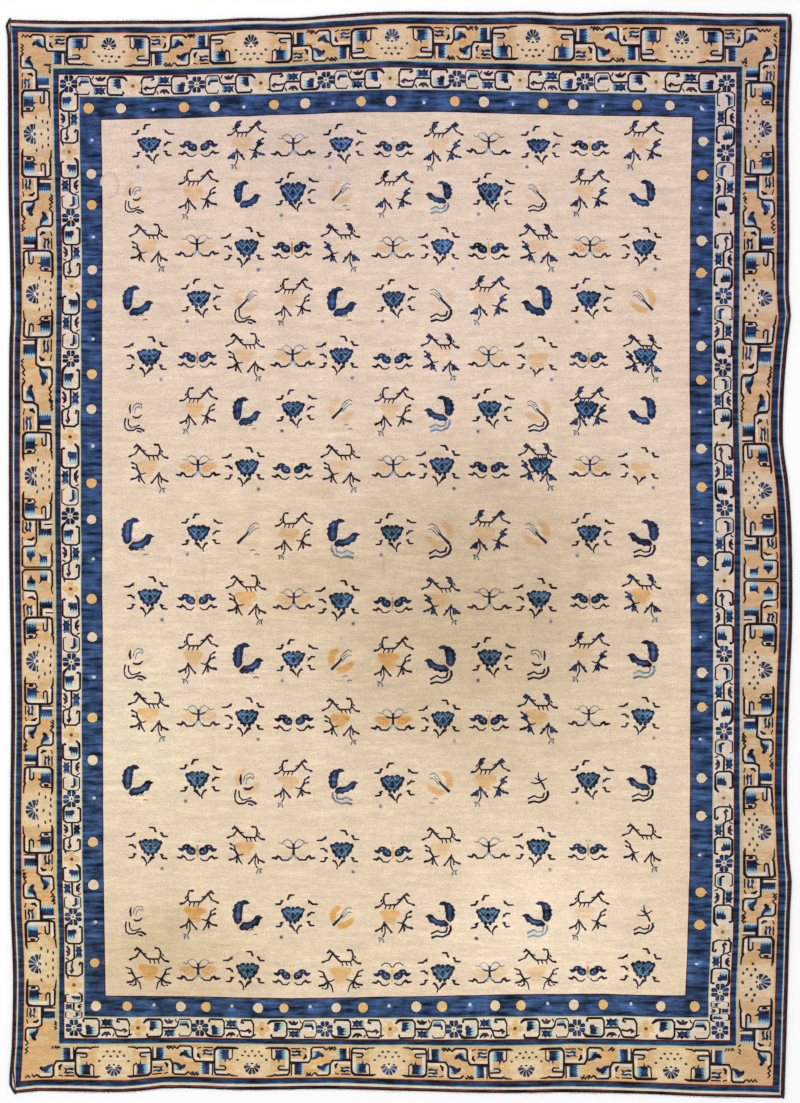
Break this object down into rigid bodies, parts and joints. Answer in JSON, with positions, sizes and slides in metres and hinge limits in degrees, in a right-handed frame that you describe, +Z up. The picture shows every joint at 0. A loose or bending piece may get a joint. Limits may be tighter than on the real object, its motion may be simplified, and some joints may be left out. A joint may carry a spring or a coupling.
{
  "type": "chinese rug",
  "caption": "Large hand-knotted wool rug lying flat: camel field of scattered flowers and butterflies, dotted blue band, inner and outer scroll borders, corded sides, worn end fringes.",
  "frame": {"origin": "middle of the rug's box, on the floor it lies on", "axes": "+X across the rug, +Y along it towards its upper end, +Z up through the pile"},
  "size_m": [3.0528, 4.2282, 0.009],
  "materials": {
    "pile_wool": "matt knotted wool pile, camel ground with indigo blues, ivory and apricot",
    "selvedge_wool": "matt blue-black wool, wound round the side cords",
    "fringe_cotton": "worn, greyed cotton warp ends"
  },
  "bodies": {
    "root": {"rug_body": "pile_wool", "selvedge_left": "selvedge_wool", "selvedge_right": "selvedge_wool", "fringe_top": "fringe_cotton", "fringe_bottom": "fringe_cotton"}
  },
  "joints": []
}
